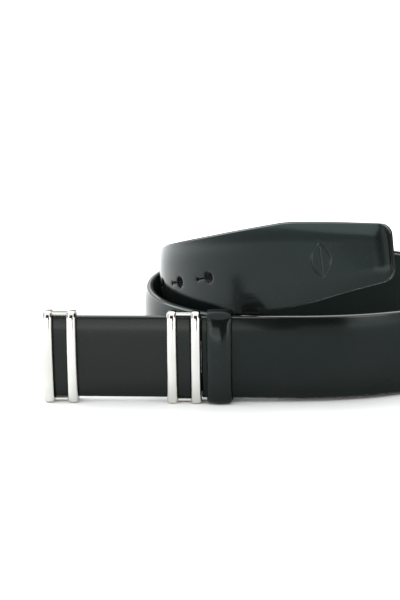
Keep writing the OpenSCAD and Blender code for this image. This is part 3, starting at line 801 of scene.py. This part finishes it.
def bowed_loop(y0, y1, z0, z1, rf, rb, amount, power, n=14, m=30, lean=0.0, fall=0.0, rl=None):
    """loop_path with its front bowed, normals worked out from the line itself"""
    p, _ = loop_path(y0, y1, z0, z1, rf, rb, n, m, rl)
    w = np.clip(1 - (p[:, 0] - y0) / (rf + amount), 0, 1)
    p = p.copy()
    p[:, 0] += (bow(p[:, 1], z0, z1, amount, power) + lean * (p[:, 1] - (z0 + z1) / 2)) * w
    # the upper arm drops a little on its way to the back
    p[:, 1] -= fall * np.maximum(0, p[:, 0] - (y0 + rf)) * np.clip((p[:, 1] - (z0 + z1) / 2) / 14, 0, 1)
    d = np.roll(p, -1, 0) - np.roll(p, 1, 0)
    nn = np.stack([-d[:, 1], d[:, 0]], 1)
    nn /= np.linalg.norm(nn, axis=1, keepdims=True)
    return p, nn


ko, kn = bowed_loop(K_Y0 - KP, K_Y1 + 0.95, 0.06, K_Z1 + 2.1, 4.6, 1.6, 2.3, 3.0, lean=0.036, fall=0.11, rl=3.0)
ki, _ = loop_path(K_Y0 - 0.5, K_Y1 + 0.42, K_Z0 - 0.5, K_Z1 + 0.5, 1.0, 0.6, 14, 30)
XK = KX0 + KW / 2
hwk = KW / 2
kq = np.array(sorted(set([0.0] + [s * v for v in (0.7, 1.4, 2.1, 2.8, 3.4, 3.9, 4.3, 4.6, 4.8, 4.95, 5.07, 5.16, 5.22, 5.25) for s in (1, -1)])))


def dome(q, pad):
    """how far the crowned cross-section falls back at q from its middle"""
    return pad * (1 - np.sqrt(np.maximum(0, 1 - (np.abs(q) / hwk) ** 2.6)))


# padding eases from the front to the thin back
front = np.clip((kn[:, 0] * -1 + 0.35) / 1.35, 0, 1)
pad = 0.7 + 1.9 * front ** 0.8
room = np.linalg.norm(ko - ki, axis=1)
sh = Sheet()
n = len(ko)
ring = []
for q in kq:
    d = dome(q, np.minimum(pad, room * 0.72))
    yz = ko - kn * d[:, None]
    ring.append(np.stack([np.full(n, XK + q), yz[:, 0], yz[:, 1]], 1) + SHIFT)
inner = [np.stack([np.full(n, XK + q), ki[:, 0], ki[:, 1]], 1) + SHIFT for q in (hwk - 0.02, 0.0, -(hwk - 0.02))]
rings = ring + inner
m = len(rings)
fs = []
for r in range(m):
    for i in range(n):
        a, b = r, (r + 1) % m
        fs.append((a * n + i, b * n + i, b * n + (i + 1) % n, a * n + (i + 1) % n))
sh.add(np.concatenate(rings), fs)
keeper = sh.build("keeper_leather", [LEATHER_K], angle=50)
sh = Sheet()
lo, _ = loop_path(K_Y0 - 0.46, K_Y1 + 0.36, K_Z0 - 0.46, K_Z1 + 0.46, 0.9, 0.55, 14, 30)
li, _ = loop_path(K_Y0, K_Y1, K_Z0, K_Z1, 0.5, 0.3, 14, 30)
rr = []
for yz, q in ((lo, -(hwk - 0.4)), (lo, hwk - 0.4), (li, hwk - 0.4), (li, -(hwk - 0.4))):
    rr.append(np.stack([np.full(n, XK + q), yz[:, 0], yz[:, 1]], 1) + SHIFT)
fs = []
for r in range(4):
    for i in range(n):
        a, b = r, (r + 1) % 4
        fs.append((a * n + i, b * n + i, b * n + (i + 1) % n, a * n + (i + 1) % n))
sh.add(np.concatenate(rr), fs)
keeper_lining = sh.build("keeper_lining_leather", [LINING_M])
for ob, cadn, sl in ((keeper, "keeper_face", "leather_gloss"), (keeper_lining, "keeper_lining", "leather_lining")):
    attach(ob, "keeper")
    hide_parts(cadn)

# ------------------------------------------------------------------ frames
BAR_W, FRAME_H, BAR_FRONT, BAR_BACK, FRAME_BACK = 4.3, 39.6, -5.2, -2.3, 4.2


def tube_loop(sh, xc, mat=0):
    """one closed bar pair: a flat wire with a rounded outside, bent round the panel"""
    po, no = bowed_loop(BAR_FRONT, FRAME_BACK, 0.03, FRAME_H, 2.9, 1.3, 1.45, 2.1, 16, 40, fall=0.12, rl=1.5)
    pi, _ = bowed_loop(BAR_BACK, FRAME_BACK - 1.05, 1.7, FRAME_H - 2.0, 0.5, 0.4, 0.55, 2.1, 16, 40, fall=0.10)
    k = len(po)
    front_ = np.clip((-no[:, 0] + 0.3) / 1.2, 0, 1)
    z = po[:, 1]
    half = (BAR_W / 2) * (1 + 0.045 * (0.5 - z / FRAME_H) * 2) * (0.80 + 0.20 * np.clip((-no[:, 0] + 0.1) / 0.6, 0, 1))
    fl = np.array([-1, -0.985, -0.95, -0.9, -0.83, -0.74, -0.64, -0.52, -0.4, -0.27, -0.13, 0, 0.13, 0.27, 0.4, 0.52, 0.64, 0.74, 0.83, 0.9, 0.95, 0.985, 1])
    rings = []
    for f in fl:
        deep = 0.30 + 1.20 * front_                    # how round the outside is
        d = deep * (1 - np.sqrt(np.maximum(0, 1 - np.abs(f) ** 2.3)))
        yz = po - no * d[:, None]
        rings.append(np.stack([xc + f * half, yz[:, 0], yz[:, 1]], 1) + SHIFT)
    for f in (1.0, 0.97, 0.9, 0.0, -0.9, -0.97, -1.0):
        lift_ = 0.25 * (1 - np.sqrt(max(0.0, 1 - max(0.0, (abs(f) - 0.88) / 0.12) ** 2)))
        yz = pi + (po - pi) / np.maximum(np.linalg.norm(po - pi, axis=1, keepdims=True), 1e-6) * lift_
        rings.append(np.stack([xc + f * half * 0.999, yz[:, 0], yz[:, 1]], 1) + SHIFT)
    m = len(rings)
    fs = []
    for r in range(m):
        for i in range(k):
            a, b = r, (r + 1) % m
            fs.append((a * k + i, b * k + i, b * k + (i + 1) % k, a * k + (i + 1) % k))
    sh.add(np.concatenate(rings), fs, None, mat)


def bridge(sh, x0, x1, zc, mat=0):
    """cross bar between two loops, rounded flat wire"""
    y0, y1, h, r = -1.9, 0.9, 1.3, 0.45
    prof = []
    for cy, cz, a0 in ((y0 + r, zc + h / 2 - r, 180), (y1 - r, zc + h / 2 - r, 90), (y1 - r, zc - h / 2 + r, 0), (y0 + r, zc - h / 2 + r, -90)):
        for t in np.linspace(0, 1, 7):
            a = math.radians(a0 - 90 * t)
            prof.append((cy + r * math.cos(a), cz + r * math.sin(a)))
    prof = np.array(prof)
    xs = np.linspace(x0, x1, 9)
    k = len(prof)
    pts = np.concatenate([np.stack([np.full(k, x), prof[:, 0], prof[:, 1]], 1) for x in xs]) + SHIFT
    fs = [(r_ * k + i, r_ * k + (i + 1) % k, (r_ + 1) * k + (i + 1) % k, (r_ + 1) * k + i) for r_ in range(len(xs) - 1) for i in range(k)]
    fs += [tuple(range(k))[::-1], tuple(range((len(xs) - 1) * k, len(xs) * k))]
    sh.add(pts, [f[::-1] for f in fs], None, mat)


for name, (xa, xb) in (("left_frame", BAR_X[:2]), ("right_frame", BAR_X[2:])):
    sh = Sheet()
    tube_loop(sh, xa)
    tube_loop(sh, xb)
    for zc_ in (1.15, FRAME_H - 1.35):
        bridge(sh, xa + 1.2, xb - 1.2, zc_)
    ob = sh.build(name + "_polished", [NICKEL], angle=60)
    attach(ob, "buckle")
    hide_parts(name)

# ------------------------------------------------------------------ CAD nodes that stay
for name, mat in (("hook_stud", NICKEL), ("back_plate", STEEL), ("frame_rivets", STEEL),
                  ("pivot_pin", STEEL), ("hinge_tongue", STEEL), ("tongue_rivets", STEEL), ("keeper_staple", STEEL), ("panel_filler", CORE_M)):
    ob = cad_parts[name]
    if not ob.material_slots:
        ob.data.materials.append(mat)
    for slot_ in ob.material_slots:
        slot_.material = mat

# ------------------------------------------------------------------ stage
def plane_obj(name, size, z, mat, seg=1):
    me = bpy.data.meshes.new(name)
    me.from_pydata([(-size, -size, z), (size, -size, z), (size, size, z), (-size, size, z)], [], [(0, 1, 2, 3)])
    me.materials.append(mat)
    ob = bpy.data.objects.new(name, me)
    bpy.context.scene.collection.objects.link(ob)
    return ob


fm, nt, b = new_mat("floor_white")
b.inputs["Base Color"].default_value = (0.96, 0.96, 0.96, 1)
b.inputs["Roughness"].default_value = 0.55
b.inputs["Specular IOR Level"].default_value = 0.3
# the far floor runs up to the same white as the wall behind it
ft = nt.nodes.new("ShaderNodeTexCoord")
fs_ = nt.nodes.new("ShaderNodeSeparateXYZ")
nt.links.new(ft.outputs["Object"], fs_.inputs[0])
fr = nt.nodes.new("ShaderNodeMapRange")
fr.interpolation_type = "SMOOTHSTEP"
fr.inputs["From Min"].default_value, fr.inputs["From Max"].default_value = -0.02, 0.6
fr.inputs["To Min"].default_value, fr.inputs["To Max"].default_value = 0.0, 1.3
fw = nt.nodes.new("ShaderNodeMath")
fw.operation = "MULTIPLY_ADD"
nt.links.new(fs_.outputs["X"], fw.inputs[0])
fw.inputs[1].default_value = -0.45
nt.links.new(fs_.outputs["Y"], fw.inputs[2])
nt.links.new(fw.outputs[0], fr.inputs[0])
fd = nt.nodes.new("ShaderNodeVectorMath")
fd.operation = "LENGTH"
nt.links.new(ft.outputs["Object"], fd.inputs[0])
fe = nt.nodes.new("ShaderNodeMapRange")
fe.interpolation_type = "SMOOTHSTEP"
fe.inputs["From Min"].default_value, fe.inputs["From Max"].default_value = 0.8, 1.9
fe.inputs["To Min"].default_value, fe.inputs["To Max"].default_value = 0.0, 1.1
nt.links.new(fd.outputs["Value"], fe.inputs[0])
fx = nt.nodes.new("ShaderNodeMath")
fx.operation = "MAXIMUM"
nt.links.new(fr.outputs[0], fx.inputs[0])
nt.links.new(fe.outputs[0], fx.inputs[1])
nt.links.new(fx.outputs[0], b.inputs["Emission Strength"])
b.inputs["Emission Color"].default_value = (0.93, 1, 1, 1)
floor = plane_obj("floor", 6.0, 0.0, fm)

ROOM = 0.10
world = bpy.data.worlds.new("studio")
bpy.context.scene.world = world
world.use_nodes = True
wt = world.node_tree
bg = wt.nodes["Background"]
bg.inputs[1].default_value = 1.0
wc = wt.nodes.new("ShaderNodeTexCoord")
sep = wt.nodes.new("ShaderNodeSeparateXYZ")
wt.links.new(wc.outputs["Generated"], sep.inputs[0])
# pale wall behind the set, a dim room in front of it
wall = wt.nodes.new("ShaderNodeMapRange")
wall.interpolation_type = "SMOOTHSTEP"
wall.inputs["From Min"].default_value, wall.inputs["From Max"].default_value = -0.25, 0.45
wall.inputs["To Min"].default_value, wall.inputs["To Max"].default_value = ROOM, 1.0
wt.links.new(sep.outputs["Y"], wall.inputs[0])
lp = wt.nodes.new("ShaderNodeLightPath")
mx = wt.nodes.new("ShaderNodeMix")
mx.data_type = "FLOAT"
wt.links.new(lp.outputs["Is Camera Ray"], mx.inputs[0])
wt.links.new(wall.outputs[0], mx.inputs[2])
mx.inputs[3].default_value = 1.0
wt.links.new(mx.outputs[0], bg.inputs[0])


def area(name, loc, target, size, radiance, size_y=None):
    """soft box of that size, looking at target, with that brightness of its face"""
    size_y = size_y or size
    l = bpy.data.lights.new(name, "AREA")
    l.energy = radiance * math.pi * size * size_y
    l.shape = "RECTANGLE"
    l.size = size
    l.size_y = size_y
    ob = bpy.data.objects.new(name, l)
    bpy.context.scene.collection.objects.link(ob)
    ob.location = loc
    d = Vector(target) - Vector(loc)
    ob.rotation_euler = d.to_track_quat("-Z", "Y").to_euler()
    ob.visible_camera = False
    return ob


def tone(ob, c):
    ob.data.color = c


area("overhead", (0.0, -0.1, 0.95), (0.0, -0.1, 0.0), 2.0, 1.55, 1.9)
# tall soft box on the left, its lower part dimmer
tone(area("left_low", (-1.15, -0.05, 0.135), (0.0, -0.05, 0.135), 1.4, 1.0, 0.26), (0.88, 1.0, 1.0))
high = area("left_high", (-1.15, -0.05, 0.60), (0.0, -0.05, 0.30), 1.4, 4.4, 0.62)
tone(high, (0.88, 1.0, 1.0))
# the polished bars would burn out in it, so they see a dimmer copy
dim = area("left_bars", (-1.15, -0.05, 0.60), (0.0, -0.05, 0.30), 1.4, 0.8, 0.62)
for light, state in ((high, "EXCLUDE"), (dim, "INCLUDE")):
    group = bpy.data.collections.new(light.name + "_bars")
    for bars in ("left_frame_polished", "right_frame_polished"):
        group.objects.link(bpy.data.objects[bars])
    for member in group.collection_objects:
        member.light_linking.link_state = state
    light.light_linking.receiver_collection = group
# low reflectors in front, with a dark gap for the stand between them
tone(area("front_left", (-0.425, -0.5, 0.047), (-0.425, 0.0, 0.047), 0.85, 2.9, 0.092), (1.0, 0.95, 0.93))
cm, nt, b = new_mat("stand_black")
b.inputs["Base Color"].default_value = (0.012, 0.012, 0.012, 1)
b.inputs["Roughness"].default_value = 0.9
b.inputs["Specular IOR Level"].default_value = 0.1
me = bpy.data.meshes.new("stand_card")
me.from_pydata([(-0.004, -0.49, 0.0), (0.07, -0.49, 0.0), (0.11, -0.49, 0.36), (-0.13, -0.49, 0.36), (-0.05, -0.49, 0.10)], [], [(0, 1, 2, 3, 4)])
me.materials.append(cm)
card = bpy.data.objects.new("stand_card", me)
bpy.context.scene.collection.objects.link(card)
card.visible_camera = False
card.visible_diffuse = False
tone(area("front_right", (0.66, -0.5, 0.10), (0.66, 0.0, 0.10), 0.8, 2.5, 0.198), (1.0, 0.96, 0.95))
# two soft panels beside the stand
tone(area("side_left", (-0.46, -0.62, 0.30), (0.0, 0.0, 0.03), 0.26, 2.3, 0.5), (1.0, 0.95, 0.93))
tone(area("side_right", (0.52, -0.62, 0.30), (0.0, 0.0, 0.03), 0.26, 1.9, 0.5), (1.0, 0.95, 0.93))

# ------------------------------------------------------------------ camera
az, el, roll = math.radians(4.59), math.radians(13.72), math.radians(0.84)
back = Vector((math.sin(az) * math.cos(el), -math.cos(az) * math.cos(el), math.sin(el)))
right = Vector((math.cos(az), math.sin(az), 0))
up = back.cross(right)
target = (Vector((-14.27, 0, 43.95)) + Vector(SHIFT)) * MM
r2 = right * math.cos(roll) - up * math.sin(roll)
u2 = right * math.sin(roll) + up * math.cos(roll)
cam = bpy.data.cameras.new("camera")
cam.sensor_width = 36.0
cam.lens = 1769.58 / 600 * 36
cam.clip_start, cam.clip_end = 0.05, 20
cob = bpy.data.objects.new("camera", cam)
bpy.context.scene.collection.objects.link(cob)
cob.matrix_world = Matrix(((r2.x, u2.x, back.x, 0), (r2.y, u2.y, back.y, 0), (r2.z, u2.z, back.z, 0), (0, 0, 0, 1)))
cob.location = target + back * 734.1 * MM
bpy.context.scene.camera = cob
bpy.context.scene.view_settings.view_transform = "Standard"
bpy.context.scene.view_settings.look = "None"
